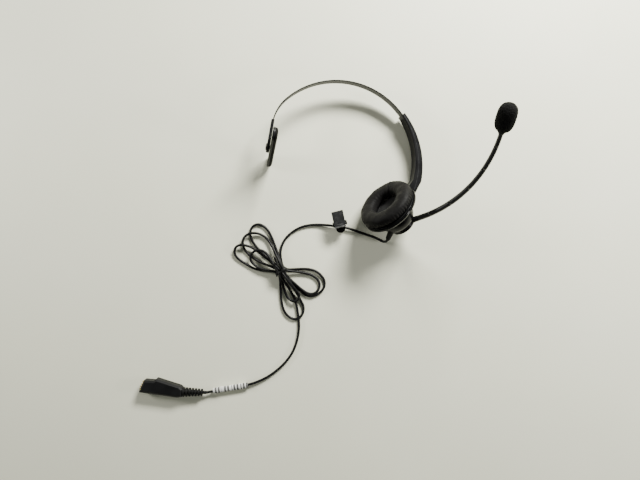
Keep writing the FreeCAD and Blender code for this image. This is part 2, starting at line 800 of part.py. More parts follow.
def clip_pin_at(label, radius):
    sideways = moved(CLIP, -0.5 * value("clip_width") - 1.4, PIN_Y, PIN_Z, V(0, 1, 0), 90)
    return cylinder(label, sideways, radius, "clip_width + 2.8")


def clip_jaw():
    """The upper jaw, with its hubs on the pin and a short finger lip behind it, clear of the round button."""
    half = 0.5 * value("clip_width")
    length = value("clip_length") - PIN_Y + 1
    across = CLIP.Rotation.multVec(V(1, 0, 0))
    along = CLIP.Rotation.multVec(V(0, 1, 0))
    side = frame(point_of(CLIP, -half + 0.2, PIN_Y, PIN_Z), across, along)
    plate = padded(
        "clip_jaw_plate", side,
        [
            (length, -1.9), (length, "clip_sheet - 1.9"), (0.5, 1.9), (-1.5, 2.3), (-2.5, 3.1), (-3, 2.5),
            (-1.7, 1.4), (0, 0.9), (length - 2, -1.9),
        ],
        "clip_width - 0.4",
    )
    hubs = []
    for number, start in enumerate((-half + 0.2, 2.8)):
        place = moved(CLIP, start, PIN_Y, PIN_Z, V(0, 1, 0), 90)
        hubs.append(cylinder(f"clip_hub_{number}", place, 1.7, half - 3.0))
    whole = fuse("clip_jaw_blank", plate, *hubs)
    spring_room = cylinder("clip_spring_room", moved(CLIP, -2.7, PIN_Y, PIN_Z, V(0, 1, 0), 90), 1.95, 5.4)
    return cut("clip_jaw", whole, spring_room, clip_pin_at("clip_jaw_bore", 0.85))


def clip_spring():
    """The coil that closes the jaws, as a sleeve of its own size round the pin."""
    place = moved(CLIP, -2.4, PIN_Y, PIN_Z, V(0, 1, 0), 90)
    return turned("clip_spring", place, ring_points(1.0, 1.7, 0, 4.8))


# ---------------------------------------------------------------------------- label and plug


def label_sleeve():
    """The printed sleeve round the cord near the plug."""
    start = V(-71.5, -144.1, 2.6) - ORIGIN
    end = V(-106.5, -149.6, 2.75) - ORIGIN
    place = frame(start, end - start, V(0, 0, 1))
    length = start.distanceToPoint(end)
    return turned("cord_label", place, ring_points(1.9, "sleeve_radius", 0, length))


PLUG = frame(V(-135.6, -150.4, 5.0) - ORIGIN, V(0, 0, 1), V(-0.995, 0.1, 0))


def plug_shells(contacts):
    """The two halves of the quick-disconnect plug: a bevelled body with a stepped tongue in front."""
    points = [
        (0, 4.0), (0, -3.4), (3, -5.9), (27, -11), (29, -8.8), (38.6, -8.6), (42.6, 3.6), (4.7, 5.2),
    ]
    halves = []
    for name, rise in (("plug_upper_shell", 0), ("plug_lower_shell", 180)):
        mirrored = [(x, -y) for x, y in points] if rise else points
        place = moved(PLUG, axis=V(1, 0, 0), angle=rise)
        blank = padded(name + "_blank", place, mirrored, "0.5*plug_height")
        soften(blank, "Chamfer", 1.6 if rise == 0 else 1.0, flat_at("0.5*plug_height"))
        halves.append(cut(name, blank, contacts))
    return halves


def plug_contacts():
    """Four gold-plated blades in a row across the tongue's end."""
    face = frame(point_of(PLUG, 40.6, -2.5, 0), V(0, 0, 1), PLUG.Rotation.multVec(V(0.95, -0.31, 0)))
    blades = []
    for number in range(4):
        place = moved(face, -1.2, 2.6 * (number - 1.5), -1.6)
        blades.append(box(f"plug_blade_{number}", place, 5, 0.9, 3.2))
    return fuse("plug_contacts", *blades)


def plug_relief():
    """The ribbed strain relief behind the plug, tapering towards the cord."""
    cord_end = V(*TAIL_ROUTE[-1]) - ORIGIN
    way = cord_end - PLUG.Base
    place = frame(PLUG.Base, way, V(0, 0, 1))
    pitch = (way.Length - 2.5) / value("rib_count")
    points = [(0, 0)]
    for number in range(SIZES["rib_count"]):
        low = pitch * number
        rib = value("rib_radius") - 0.2 * number
        step = low + 0.5 * pitch
        points += [(rib, low), (rib, step), (rib - 1.9, step), (rib - 1.9, low + pitch)]
    points += [(1.5, way.Length), (0, way.Length)]
    return turned("plug_relief", place, points)


# ---------------------------------------------------------------------------- assembly

strip, end_centre = headband()
rivet_place, pad_place = temple_frames(end_centre)
rivet = temple_rivet(rivet_place)
stem = cut("temple_stem", temple_stem(rivet_place), strip, rivet)
bar_bore = cylinder("bar_bore", moved(rivet_place, x=-5, axis=V(0, 1, 0), angle=90), 2.05, 4)

dome = dome_blank()
strain_relief = gland()
screws_in_cup = cup_screws()
turret_body, turret_cap, turret_axle, detent_washer = turret()
disc_room = cylinder("disc_room", moved(CUP, z=-30), "turret_radius", 20)
clip_upper = clip_jaw()
contacts = plug_contacts()

nodes = [
    strip, band_stop(), stem, rivet, temple_bar(pad_place, bar_bore), temple_cushion(pad_place),
    *arm_parts(dome),
    housing(dome, strain_relief), socket_plate(), ball_liner(), ball_stud(),
    ear_shell(screws_in_cup), screws_in_cup, baffle(screws_in_cup), *speaker(), cushion(), *cup_trim(),
    turret_body, turret_cap, turret_axle, detent_washer, boom_root(disc_room), *boom_segments(),
    *microphone(),
    strain_relief, cord_tube("cord_lead", LEAD_ROUTE), hank(), cord_tube("cord_tail", TAIL_ROUTE), hank_tie(),
    clip_holder(), clip_base(), clip_upper, clip_pin_at("clip_pin", 0.8), clip_spring(),
    label_sleeve(), *plug_shells(contacts), contacts, plug_relief(),
]

doc.recompute()
for item in doc.Objects:
    if {"Invalid", "Error"} & set(item.State):
        raise ValueError(f"{item.Name} could not be computed")
for node in nodes:
    if node.Shape.isNull() or not node.Shape.isValid() or node.Shape.Volume <= 0:
        raise ValueError(f"{node.Label} has no valid shape")
    if len(node.Shape.Solids) != 1 and node.Label not in ("arm_screws", "cup_screws", "plug_contacts"):
        raise ValueError(f"{node.Label} is {len(node.Shape.Solids)} solids")
for node in nodes:
    node.Shape.exportStep(f"parts/{node.Label}.step")
print(f"{len(nodes)} parts")
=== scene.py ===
import math

import bmesh
import bpy
import numpy as np
from mathutils import Matrix, Vector, noise


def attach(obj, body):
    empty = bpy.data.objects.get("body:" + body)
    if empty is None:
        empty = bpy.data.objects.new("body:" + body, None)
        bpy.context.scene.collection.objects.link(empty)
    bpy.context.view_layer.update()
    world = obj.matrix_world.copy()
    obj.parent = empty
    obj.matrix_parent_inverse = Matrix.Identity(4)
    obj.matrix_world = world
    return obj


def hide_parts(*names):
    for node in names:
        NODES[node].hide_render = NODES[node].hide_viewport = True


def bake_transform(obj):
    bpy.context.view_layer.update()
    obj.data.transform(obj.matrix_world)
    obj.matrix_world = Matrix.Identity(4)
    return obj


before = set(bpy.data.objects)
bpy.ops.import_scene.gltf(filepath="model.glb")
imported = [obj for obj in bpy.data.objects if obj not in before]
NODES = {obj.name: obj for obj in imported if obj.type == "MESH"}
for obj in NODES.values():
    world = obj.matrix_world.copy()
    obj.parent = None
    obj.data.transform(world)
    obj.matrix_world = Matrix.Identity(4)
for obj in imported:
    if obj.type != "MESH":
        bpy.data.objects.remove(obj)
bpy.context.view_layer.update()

# The office headset. Metres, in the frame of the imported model: +Z up, the table at Z = 0.

TABLE_ORIGIN = Vector((51.37, 79.22, 0))     # the model's origin, on the table the routes are drawn on


def table(x, y, z):
    """A point given in millimetres on the table, as a point of the model in metres."""
    return (Vector((x, y, z)) - TABLE_ORIGIN) * 0.001


def axes(base, x, z):
    """A placement matrix from a base point and two of its axes."""
    z = Vector(z).normalized()
    y = z.cross(Vector(x)).normalized()
    x = y.cross(z)
    matrix = Matrix((x, y, z)).transposed().to_4x4()
    matrix.translation = Vector(base)
    return matrix


CUP = axes((0.01443, -0.04872, 0.0251), (0.707107, 0.707107, 0), (-0.611777, 0.611777, 0.501456))
PAD = axes((-0.100375, 0.008867, 0.027075), (-0.976083, 0.173648, 0.130795), (0.190426, 0.392691, 0.89974))
MIC = axes((0.094665, 0.006504, 0.100038), (0.903468, -0.314024, 0.291778), (0.079965, 0.792202, 0.604997))
BOOM = axes((0.043446, -0.057899, 0.025434), (0.506426, -0.813279, -0.286549), (0.75245, 0.254507, 0.607491))


def place(name, mesh, matrix=None):
    """A new object of this mesh, moved to its placement by its vertices."""
    if matrix is not None:
        mesh.transform(matrix)
    thing = bpy.data.objects.new(name, mesh)
    bpy.context.scene.collection.objects.link(thing)
    return thing


def smooth(thing):
    """The object, with every face shaded smooth."""
    for face in thing.data.polygons:
        face.use_smooth = True
    return thing


# ---------------------------------------------------------------------------- camera

SENSOR_WIDTH, FOCAL_LENGTH = 36, 29.14
CAMERA_HEIGHT = 518     # millimetres above the table, looking straight down

camera_data = bpy.data.cameras.new("camera")
camera_data.sensor_width = SENSOR_WIDTH
camera_data.lens = FOCAL_LENGTH
camera = bpy.data.objects.new("camera", camera_data)
camera.location = table(0, 0, CAMERA_HEIGHT)
bpy.context.scene.collection.objects.link(camera)
bpy.context.scene.camera = camera

# ---------------------------------------------------------------------------- cord

CORD = 0.0025

# The route on the table, in millimetres, as in the model: strain relief to hank, hank to plug.
LEAD_ROUTE = [
    (66.2, 0.5, 10.8), (65.6, -1.8, 6.4), (62.4, -1.6, 2.6), (57.0, 1.6, 1.35), (47.5, 5.2, 1.4),
    (37.0, 8.4, 1.9), (28.0, 12.0, 3.1), (12.0, 14.4, 3.1), (-4.0, 15.6, 1.4), (-16.4, 14.0, 1.35),
    (-26.0, 9.4, 1.35), (-33.8, 2.6, 1.35), (-38.2, -5.2, 1.4), (-39.8, -13.6, 2.2), (-38.6, -22.0, 3.6),
]
TAIL_ROUTE = [
    (-21.6, -76.0, 1.5), (-20.2, -88.0, 1.35), (-24.6, -108.0, 1.35), (-34.4, -122.6, 1.35),
    (-48.6, -134.6, 1.4), (-60.0, -140.4, 1.9), (-70.4, -143.9, 2.6), (-88.4, -147.2, 2.6),
    (-103.0, -149.4, 2.8), (-112.4, -151.2, 4.4),
]

# The tied hank: nine passes through its waist and four loops each side of it. A pass is (column across the
# waist, layer); a loop is its height and the points of its outline, between the pass before it and the next.
WAIST = Vector((-38.4, -30.9, 0))
WAIST_ALONG = Vector((0.55, -0.83, 0)).normalized()
WAIST_ACROSS = Vector((0.83, 0.55, 0)).normalized()
PASSES = [(1, 0), (0, 0), (1, 1), (0, 1), (1, 2), (-1, 0), (0, 2), (-1, 1), (-1, 2)]
LOOPS = [
    (1.3, [(-17, -28.6), (-4.4, -30.2), (4.6, -38.6), (5.0, -48.0), (-4.5, -55.8), (-15, -55)]),
    (1.3, [(-56, -14.0), (-64.5, -6), (-70.6, 5), (-68.5, 14.0), (-61.5, 17.2), (-53, 12), (-46.5, -1)]),
    (4.0, [(-15.6, -32.4), (-3.8, -36.7), (0.8, -44.5), (-2.4, -52), (-12, -54)]),
    (4.0, [(-62, -21), (-73.4, -12.5), (-78, -3), (-75, 4.8), (-66, 7.8), (-56.5, 5.0), (-49, -3.5)]),
    (6.6, [(-21, -57), (-15.6, -67), (-18.4, -77), (-27, -80), (-35.8, -72), (-39, -57.4)]),
    (6.6, [(-62, -30), (-73, -24.6), (-84, -17), (-87.5, -9.5), (-83.5, -4.0), (-74, -4.8), (-63, -10)]),
    (9.2, [(-25, -48), (-18, -54.5), (-19.5, -62), (-28, -63), (-34, -55)]),
    (9.2, [(-57, -29.5), (-68, -23.6), (-70.4, -15.5), (-64.5, -10.0), (-54, -11)]),
]


LEAVING = [(-27.0, -54.5, 5.5), (-23.3, -65.0, 3.2)]     # the tail's way down from the waist to the table
LEAVING_TOWARDS = (-33.5, -42.5)

# How the hank is settled. Lengths are in millimetres; shares and pulls are per turn.
COLUMN_PITCH, FIRST_LAYER, LAYER_PITCH = 2.8, 1.35, 2.6
SPACING = 2.3          # between the points
STRAND = 2.85          # the distance aimed for between two strands' middles
NEIGHBOURS = 5         # points this near along the cord don't rest on each other
LOWEST = 1.3
STIFFNESS, STIFF_PASSES = 0.05, 6     # how strongly a strand's height keeps to a smooth line
TIGHTEST = 8.0         # bends under this radius are eased
EASE, DRAWN_PULL = 0.16, 0.03
SINK, LIFT_SHARE = 0.1, 0.7
WAIST_HOLD, WAIST_FADE, HOLD_PULL = 1.0, 5.0, 0.12
SETTLE_TURNS, QUIET_TURNS = 500, 100


def hank_points():
    """The hank's points in millimetres: the loops as drawn, then settled on the table with each strand lifted
    over those drawn below it. Tight bends are eased, but a few stay tighter than the cord should take, and at
    one crossing the strands still run into each other."""
    drawn = [Vector(LEAD_ROUTE[-2]), Vector(LEAD_ROUTE[-1])]
    for number, (column, layer) in enumerate(PASSES):
        level = Vector((0, 0, FIRST_LAYER + LAYER_PITCH * layer))
        slot = WAIST + WAIST_ACROSS * COLUMN_PITCH * column + level
        before = Vector(LOOPS[number - 1][1][-1] if number else LEAD_ROUTE[-1][:2]).to_3d()
        after = Vector(LOOPS[number][1][0] if number < len(LOOPS) else LEAVING_TOWARDS).to_3d()
        way = (after - before).normalized() * 2 + (WAIST_ALONG if number % 2 == 0 else -WAIST_ALONG)
        drawn += [slot + way.normalized() * step for step in (-1.5, 1.5)]
        if number < len(LOOPS):
            height, outline = LOOPS[number]
            drawn += [Vector((x, y, height)) for x, y in outline]
    drawn += [Vector(point) for point in LEAVING + TAIL_ROUTE[:2]]

    drawn = np.array([tuple(point) for point in drawn])
    fine = []
    for a, b, c, d in zip(drawn[:-3], drawn[1:-2], drawn[2:-1], drawn[3:]):
        count = max(1, int(round(np.linalg.norm(c - b) / SPACING)))
        for step in range(count):
            t = step / count
            cubic = 3 * b - a - 3 * c + d
            fine.append(0.5 * (2 * b + (c - a) * t + (2 * a - 5 * b + 4 * c - d) * t * t + cubic * t ** 3))
    start = np.array(fine)
    points = start.copy()
    order = np.arange(len(points))
    apart = np.abs(np.subtract.outer(order, order)) > NEIGHBOURS
    rank = start[:, 2] + 0.0001 * order     # equal heights go by their order along the cord
    above = rank[:, None] > rank[None]
    near = np.linalg.norm((start - np.array(WAIST))[:, :2], axis=1)
    held = np.clip(1 - (near - WAIST_HOLD) / WAIST_FADE, 0, 1)
    held[[0, -1]] = 1
    free = (1 - held)[:, None]
    for turn in range(SETTLE_TURNS):
        middle = 0.5 * (points[:-2] + points[2:]) - points[1:-1]
        run = 0.5 * np.linalg.norm(points[2:] - points[:-2], axis=1)
        radius = run ** 2 / np.maximum(2 * np.linalg.norm(middle, axis=1), 1e-6)
        unbend = 0.5 * np.clip((TIGHTEST - radius) / 2, 0, 1)
        points[1:-1] += middle * np.maximum(EASE * free[1:-1, 0], unbend)[:, None]
        points[:, :2] += DRAWN_PULL * (start - points)[:, :2] * free
        points[:, :2] += (held[:, None] * HOLD_PULL * (start - points))[:, :2]
        height = points[:, 2]
        height -= SINK if turn < SETTLE_TURNS - QUIET_TURNS else 0.0
        flat = np.linalg.norm((points[:, None] - points[None])[:, :, :2], axis=2)
        lift = np.sqrt(np.maximum(STRAND ** 2 - flat ** 2, 0))
        rest = np.where(apart & above & (flat < STRAND), height[None] + lift, LOWEST).max(1)
        height[:] = np.maximum(height, height + LIFT_SHARE * (rest - height))
        for _ in range(STIFF_PASSES):
            stiff = height[:-4] - 4 * height[1:-3] + 6 * height[2:-2] - 4 * height[3:-1] + height[4:]
            height[2:-2] -= STIFFNESS * stiff
        height[:] = np.maximum(height, LOWEST)
        points[[0, -1]] = start[[0, -1]]
    return [tuple(point) for point in points]


def spline_curve(name, points, radius):
    """A curve of one smooth NURBS spline with these control points."""
    data = bpy.data.curves.new(name, "CURVE")
    data.dimensions = "3D"
    data.resolution_u = 6
    data.bevel_depth = radius
    data.bevel_resolution = 5
    data.use_fill_caps = True
    line = data.splines.new("NURBS")
    line.points.add(len(points) - 1)
    for spot, point in zip(line.points, points):
        spot.co = (*point, 1)
    line.order_u = 3
    line.use_endpoint_u = True
    thing = bpy.data.objects.new(name, data)
    bpy.context.scene.collection.objects.link(thing)
    return thing


route = LEAD_ROUTE[:-1] + hank_points()[1:-1] + TAIL_ROUTE[1:]
cord = spline_curve("cord", [table(*point) for point in route], 0.5 * CORD)


def curve_length(thing):
    """The length of a curve's own line, read from its spline with no bevel."""
    plain = thing.copy()
    plain.data = thing.data.copy()
    plain.data.bevel_depth = 0
    plain.data.use_fill_caps = False
    mesh = bpy.data.meshes.new_from_object(plain)
    places = [point.co for point in mesh.vertices]
    total = sum((b - a).length for a, b in zip(places, places[1:]))
    bpy.data.objects.remove(plain)
    return total


# ---------------------------------------------------------------------------- materials


BEVEL_SAMPLES = 16


class Shader:
    """A node material on the Principled shader, with its patterns in object coordinates."""

    def __init__(self, name, roughness=0.5, metallic=0.0):
        self.material = bpy.data.materials.new(name)
        self.material.use_nodes = True
        self.tree = self.material.node_tree
        self.surface = self.tree.nodes["Principled BSDF"]
        self.surface.inputs["Roughness"].default_value = roughness
        self.surface.inputs["Metallic"].default_value = metallic
        self.where = self.node("ShaderNodeTexCoord").outputs["Object"]

    def node(self, kind, **settings):
        made = self.tree.nodes.new(kind)
        for name, setting in settings.items():
            setattr(made, name, setting)
        return made

    def link(self, start, end):
        self.tree.links.new(start, end)

    def noise(self, scale, detail=3, roughness=0.55, stretch=None):
        made = self.node("ShaderNodeTexNoise")
        made.inputs["Scale"].default_value = scale
        made.inputs["Detail"].default_value = detail
        made.inputs["Roughness"].default_value = roughness
        where = self.where
        if stretch:
            mapping = self.node("ShaderNodeMapping")
            mapping.inputs["Scale"].default_value = stretch
            self.link(where, mapping.inputs["Vector"])
            where = mapping.outputs["Vector"]
        self.link(where, made.inputs["Vector"])
        return made.outputs["Fac"]

    def cells(self, scale):
        made = self.node("ShaderNodeTexVoronoi", feature="F1")
        made.inputs["Scale"].default_value = scale
        self.link(self.where, made.inputs["Vector"])
        return made.outputs["Distance"]

    def spread(self, value, low, high, start=0.3, end=0.7):
        made = self.node("ShaderNodeMapRange")
        for name, number in (("From Min", start), ("From Max", end), ("To Min", low), ("To Max", high)):
            made.inputs[name].default_value = number
        self.link(value, made.inputs["Value"])
        return made.outputs["Result"]

    def mix(self, factor, first, second):
        made = self.node("ShaderNodeMix", data_type="RGBA")
        self.link(factor, made.inputs["Factor"])
        for socket, color in ((made.inputs[6], first), (made.inputs[7], second)):
            if isinstance(color, tuple):
                socket.default_value = (*color, 1)
            else:
                self.link(color, socket)
        return made.outputs[2]

    def add(self, first, second, kind="ADD"):
        made = self.node("ShaderNodeMath", operation=kind)
        for socket, value in ((made.inputs[0], first), (made.inputs[1], second)):
            if isinstance(value, (int, float)):
                socket.default_value = value
            else:
                self.link(value, socket)
        return made.outputs[0]

    def color(self, value):
        self.link(value, self.surface.inputs["Base Color"])

    def rough(self, value):
        self.link(value, self.surface.inputs["Roughness"])

    def bump(self, height, distance, edge=0.0):
        """Relief of this depth in metres, over edges rounded by the edge radius."""
        made = self.node("ShaderNodeBump")
        made.inputs["Distance"].default_value = distance
        self.link(height, made.inputs["Height"])
        if edge:
            round_edge = self.node("ShaderNodeBevel", samples=BEVEL_SAMPLES)
            round_edge.inputs["Radius"].default_value = edge
            self.link(round_edge.outputs["Normal"], made.inputs["Normal"])
        self.link(made.outputs["Normal"], self.surface.inputs["Normal"])

    def edges(self, radius):
        """A mask that is 1 along sharp edges."""
        round_edge = self.node("ShaderNodeBevel", samples=BEVEL_SAMPLES)
        round_edge.inputs["Radius"].default_value = radius
        flat = self.node("ShaderNodeNewGeometry")
        dot = self.node("ShaderNodeVectorMath", operation="DOT_PRODUCT")
        self.link(round_edge.outputs["Normal"], dot.inputs[0])
        self.link(flat.outputs["Normal"], dot.inputs[1])
        return self.spread(self.add(1.0, dot.outputs["Value"], "SUBTRACT"), 0.0, 1.0, 0.02, 0.25)


def moulded(name, tone, roughness, grain=1400, depth=0.00004, edge=0.00035, wear=0.6, coat=0.0, rub=3.2,
             specular=0.22):
    """Moulded plastic: uneven tone and gloss, fine grain, and edges rubbed paler and smoother."""
    made = Shader(name, roughness)
    dark = tuple(0.75 * part for part in tone)
    pale = tuple(1.35 * part for part in tone)
    rubbed = tuple(min(1, rub * part + 0.01) for part in tone)
    patches = made.noise(45, 4)
    base = made.mix(made.spread(patches, 0.0, 1.0), dark, pale)
    worn = made.add(made.edges(edge * 1.6), made.spread(made.noise(260, 3), 0.0, wear), "MULTIPLY")
    made.color(made.mix(worn, base, rubbed))
    handled = made.spread(made.noise(90, 5), roughness - 0.08, roughness + 0.1)
    made.rough(handled)
    made.bump(made.noise(grain, 2), depth, edge)
    made.surface.inputs["Specular IOR Level"].default_value = specular
    made.surface.inputs["Coat Weight"].default_value = coat
    made.surface.inputs["Coat Roughness"].default_value = 0.12
    return made.material


def metal(name, tone, roughness, stretch=(1, 1, 30), depth=0.00001, edge=0.0002):
    """Worked metal: drawn lines, stains and brighter edges."""
    made = Shader(name, roughness, 1.0)
    lines = made.noise(220, 3, stretch=stretch)
    stains = made.noise(60, 4)
    base = made.mix(made.spread(stains, 0.0, 1.0), tuple(0.7 * part for part in tone), tone)
    made.color(made.mix(made.edges(edge), base, tuple(min(1, 1.6 * part) for part in tone)))
    made.rough(made.spread(lines, roughness - 0.07, roughness + 0.12))
    made.bump(lines, depth, edge)
    return made.material


def rubber(name, tone, roughness, grain=900, depth=0.00003, dust=0.5, specular=0.2):
    """Soft moulded rubber or jacket: dull, a little dusty in patches."""
    made = Shader(name, roughness)
    dusty = tuple(min(1, 2.4 * part + 0.004) for part in tone)
    base = made.mix(made.spread(made.noise(70, 4), 0.0, 1.0), tuple(0.7 * part for part in tone), tone)
    made.color(made.mix(made.spread(made.noise(420, 5), 0.0, dust, 0.5, 0.8), base, dusty))
    made.rough(made.spread(made.noise(130, 4), roughness - 0.07, roughness + 0.1))
    made.bump(made.noise(grain, 2), depth, 0.0002)
    made.surface.inputs["Specular IOR Level"].default_value = specular
    return made.material


def leatherette():
    """Coated cushion skin: pebbled grain, fine creases, uneven sheen."""
    made = Shader("leatherette", 0.45)
    grain = made.cells(1500)
    creases = made.noise(330, 5, 0.6)
    tone = made.spread(made.noise(75, 4), 0.0, 1.0)
    base = made.mix(tone, (0.0025, 0.0024, 0.0024), (0.007, 0.0066, 0.0066))
    made.color(made.mix(made.spread(grain, 0.0, 0.5, 0.1, 0.7), base, (0.011, 0.0105, 0.0105)))
    made.rough(made.spread(creases, 0.46, 0.66))
    made.bump(made.add(made.add(grain, 0.6, "MULTIPLY"), creases), 0.00012)
    made.surface.inputs["Sheen Weight"].default_value = 0.01
    made.surface.inputs["Specular IOR Level"].default_value = 0.08
    return made.material


def foam():
    """Open-cell foam: dull pits, with painted shade darkening the pits and the struts round them painted
    paler.
    """
    made = Shader("foam", 0.95)
    pits_and_painted_shade = made.cells(1150)
    base = made.mix(made.spread(made.noise(160, 4), 0.0, 1.0), (0.002, 0.002, 0.002), (0.005, 0.005, 0.005))
    # painted shade: the cells that shape the relief also darken the colour in the pits and lighten it on the
    # struts
    made.color(made.mix(made.spread(pits_and_painted_shade, 0.0, 0.7, 0.25, 0.7), base, (0.010, 0.010, 0.0095)))
    made.bump(made.add(pits_and_painted_shade, made.noise(500, 4)), 0.0005)
    made.surface.inputs["Sheen Weight"].default_value = 0.01
    made.surface.inputs["Sheen Roughness"].default_value = 0.6
    made.surface.inputs["Specular IOR Level"].default_value = 0.06
    return made.material


def woven(name, tone):
    """Thin cloth with a plain weave."""
    made = Shader(name, 0.9)
    across = made.node("ShaderNodeTexWave", bands_direction="X")
    along = made.node("ShaderNodeTexWave", bands_direction="Y")
    for wave in (across, along):
        wave.inputs["Scale"].default_value = 420
        made.link(made.where, wave.inputs["Vector"])
    weave = made.add(across.outputs["Fac"], along.outputs["Fac"], "MULTIPLY")
    made.color(made.mix(weave, tuple(0.4 * part for part in tone), tone))
    made.rough(made.spread(made.noise(200, 3), 0.85, 0.97))
    made.bump(weave, 0.0001)
    return made.material


def printed_sleeve():
    """A white wrap with plain stripes across it, scuffed. The stripes follow the sleeve's own UV map."""
    made = Shader("printed_sleeve", 0.3)
    place_on = made.node("ShaderNodeUVMap", uv_map="sleeve")
    split = made.node("ShaderNodeSeparateXYZ")
    made.link(place_on.outputs["UV"], split.inputs[0])
    wide = made.add(made.add(made.add(split.outputs[0], 320, "MULTIPLY"), 1.0, "MODULO"), 0.62, "LESS_THAN")
    narrow = made.add(made.add(made.add(split.outputs[0], 113, "MULTIPLY"), 1.0, "MODULO"), 0.84, "LESS_THAN")
    across = made.add(made.add(split.outputs[1], 0.5, "SUBTRACT"), 0.0, "ABSOLUTE")
    ink = made.add(made.add(wide, narrow, "MULTIPLY"), made.add(across, 0.31, "LESS_THAN"), "MULTIPLY")
    paper = made.mix(made.spread(made.noise(180, 4), 0.0, 1.0), (0.70, 0.70, 0.67), (0.86, 0.86, 0.83))
    faded = made.add(ink, made.spread(made.noise(700, 3), 0.75, 1.0), "MULTIPLY")
    made.color(made.mix(faded, paper, (0.006, 0.006, 0.006)))
    made.rough(made.spread(made.noise(300, 3), 0.42, 0.6))
    made.bump(made.noise(260, 3), 0.00008)
    made.surface.inputs["Specular IOR Level"].default_value = 0.3
    return made.material


SATIN = moulded("satin_black", (0.007, 0.007, 0.0075), 0.36, edge=0.0004)
GLOSS = moulded("gloss_black", (0.003, 0.003, 0.0033), 0.24, grain=500, depth=0.00001, edge=0.0003, coat=0.03,
                wear=0.3, specular=0.08)
SHELL = moulded("satin_shell", (0.006, 0.006, 0.0065), 0.38, edge=0.0007, wear=1.0, rub=9, specular=0.16)
CLIP_PLATE = metal("clip_plate", (0.26, 0.26, 0.265), 0.24, stretch=(1, 1, 1), edge=0.0003)
PLUG_BLACK = moulded("plug_plastic", (0.006, 0.006, 0.0065), 0.48, edge=0.0004, wear=0.5, specular=0.16)
LINER = moulded("liner_plastic", (0.42, 0.42, 0.4), 0.45, wear=0.2, specular=0.5)
BOARD = moulded("board", (0.02, 0.1, 0.045), 0.35, wear=0.2)
FILM = moulded("film", (0.4, 0.4, 0.38), 0.25, wear=0.1)
STRIP = metal("strip_steel", (0.012, 0.012, 0.013), 0.45, stretch=(30, 30, 1))
SCREW = metal("screw_steel", (0.5, 0.5, 0.51), 0.3)
MAGNET = metal("magnet_plate", (0.55, 0.55, 0.54), 0.35)
COPPER = metal("copper_wire", (0.72, 0.33, 0.16), 0.35, stretch=(1, 1, 60))
CAN = metal("capsule_can", (0.68, 0.68, 0.68), 0.28)
GOLD = metal("contact_gold", (0.83, 0.6, 0.26), 0.25)
JACKET = rubber("cord_jacket", (0.0045, 0.0045, 0.005), 0.42)
SOFT = rubber("soft_black", (0.005, 0.005, 0.005), 0.5)
SHEATH = rubber("boom_sheath", (0.006, 0.006, 0.0063), 0.36, grain=1500, depth=0.00002, dust=0.3,
                specular=0.5)
TEMPLE = rubber("temple_rubber", (0.003, 0.003, 0.003), 0.65, specular=0.08)
TIE = rubber("tie_plastic", (0.005, 0.005, 0.005), 0.4)
SKIN = leatherette()
FOAM = foam()
CLOTH = woven("acoustic_cloth_weave", (0.012, 0.012, 0.012))
SLEEVE = printed_sleeve()

FINISH = {
    "arm_outer_shell": SHELL, "arm_inner_shell": SHELL, "headband_strip": STRIP, "band_stop": STRIP,
    "detent_spring": STRIP, "detent_washer": STRIP, "temple_stem": SATIN, "temple_rivet": GLOSS,
    "temple_bar": SATIN, "housing_shell": GLOSS, "socket_plate": SATIN, "ball_liner": LINER,
    "ball_stud": SATIN, "ear_shell": GLOSS, "baffle": SATIN, "speaker_basket": SATIN,
    "speaker_magnet": MAGNET, "voice_coil": COPPER, "diaphragm": FILM, "acoustic_cloth": CLOTH,
    "cushion_ring": SATIN, "terminal_board": BOARD, "turret_body": GLOSS, "turret_cap": GLOSS,
    "boom_root": SHELL, "mic_boot": SOFT, "mic_housing_back": SATIN, "mic_housing_front": SATIN,
    "mic_capsule": CAN, "strain_relief": SOFT, "clip_holder": GLOSS, "clip_base": GLOSS,
    "clip_jaw": CLIP_PLATE, "plug_upper_shell": PLUG_BLACK, "plug_lower_shell": PLUG_BLACK,
    "plug_contacts": GOLD, "plug_relief": SOFT,
}
# the rest are small steel parts, or are replaced by a piece below
for name, node in NODES.items():
    node.data.materials.clear()
    node.data.materials.append(FINISH.get(name, SCREW))

# ---------------------------------------------------------------------------- pieces in mesh


def finish_piece(thing, material, body, slot, *nodes):
    """Give a piece its material, the body it rides and the nodes it replaces; its slot is not used. A piece
    that is blended between bodies has no body here."""
    thing.data.materials.clear()
    thing.data.materials.append(material)
    if body:
        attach(thing, body)
    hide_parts(*nodes)
    return thing


def ring_mesh(name, rings, capped=False, closed=False, weld=0.0):
    """A mesh over rings of points, with its ends capped or its last ring joined to its first."""
    mesh = bmesh.new()
    rings = [[mesh.verts.new(point) for point in ring] for ring in rings]
    sides = len(rings[0])
    pairs = list(zip(rings, rings[1:])) + ([(rings[-1], rings[0])] if closed else [])
    for first, second in pairs:
        for step in range(sides):
            after = (step + 1) % sides
            mesh.faces.new((first[step], first[after], second[after], second[step]))
    if capped:
        mesh.faces.new(list(reversed(rings[0])))
        mesh.faces.new(rings[-1])
    if weld:
        bmesh.ops.remove_doubles(mesh, verts=mesh.verts, dist=weld)
    bmesh.ops.recalc_face_normals(mesh, faces=mesh.faces)
    data = bpy.data.meshes.new(name)
    mesh.to_mesh(data)
    mesh.free()
    return data


def full_turn(sides):
    return [2 * math.pi * step / sides for step in range(sides)]


def swept(name, stations, sides):
    """A capped tube through stations of (middle, across, up, half width, half height)."""
    rings = [
        [middle + across * (wide * math.cos(turn)) + up * (high * math.sin(turn))
         for turn in full_turn(sides)]
        for middle, across, up, wide, high in stations
    ]
    return smooth(place(name, ring_mesh(name, rings, capped=True)))


def turned_mesh(name, profile, matrix, sides):
    """A body turned about the placement's z axis, from a closed (radius, height) profile in millimetres."""
    rings = [
        [(0.001 * radius * math.cos(turn), 0.001 * radius * math.sin(turn), 0.001 * height)
         for turn in full_turn(sides)]
        for radius, height in profile
    ]
    return smooth(place(name, ring_mesh(name, rings, closed=True), matrix))


